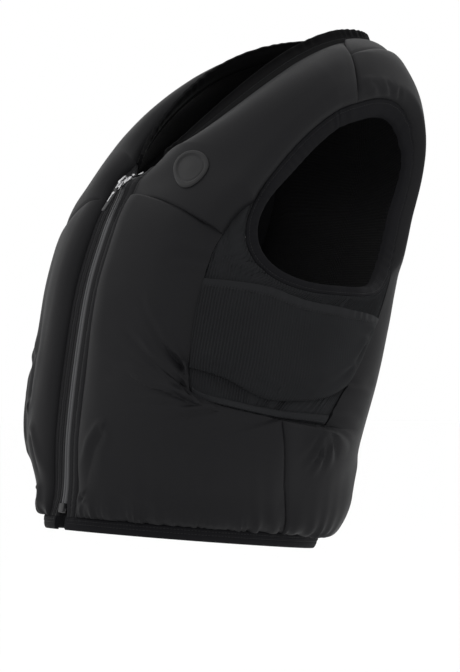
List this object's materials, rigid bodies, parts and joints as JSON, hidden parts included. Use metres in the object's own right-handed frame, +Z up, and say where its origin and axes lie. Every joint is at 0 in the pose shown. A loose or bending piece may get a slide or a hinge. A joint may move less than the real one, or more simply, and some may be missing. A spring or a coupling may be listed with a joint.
{
  "type": "airbag vest",
  "caption": "Sleeveless padded airbag vest in its worn form: front zip, ribbed knit sides with pouch pockets, bound armholes and hem, and a stand-up neck band.",
  "frame": {"origin": "where the vest sits: midway between the undersides of the two shoulder straps", "axes": "+Z up, the wearer faces -Y, the wearer's left is +X"},
  "size_m": [0.424, 0.4205, 0.5843],
  "materials": {
    "shell": "matt softshell, near black",
    "knit": "ribbed stretch knit",
    "binding": "folded stretch tape",
    "mesh": "open spacer mesh",
    "coil": "grey nylon coil",
    "metal": "bright plated",
    "moulded": "moulded, matt"
  },
  "bodies": {
    "vest": {"front_panel_left": "shell", "front_panel_right": "shell", "chest_bolster_left": "shell", "chest_bolster_right": "shell", "back_panel": "shell", "back_collar": "shell", "placket_left": "shell", "placket_right": "shell", "side_panel_left": "knit", "side_panel_right": "knit", "side_pocket_left": "knit", "side_pocket_right": "knit", "side_trim_left": "binding", "side_trim_right": "binding", "armhole_binding_left": "binding", "armhole_binding_right": "binding", "neck_band": "binding", "hem_band": "binding", "lining_chest_left": "mesh", "lining_chest_right": "mesh", "lining_back": "mesh", "zip_chain": "coil", "zip_slider": "metal", "zip_stop_left": "metal", "zip_stop_right": "metal", "pocket_zip_slider": "metal", "collar_zip_slider": "metal", "zip_box": "moulded", "chest_badge": "moulded"},
    "pull": {"zip_pull_ring": "metal", "zip_pull_tab": "moulded", "zip_pull_inlay": "metal"}
  },
  "joints": [
    {"name": "pull_hinge", "type": "hinge", "parent": "vest", "child": "pull", "pos_m": [0, -0.18662, -0.09718], "axis": [-1, 0, 0], "range_deg": [0, 140]}
  ]
}
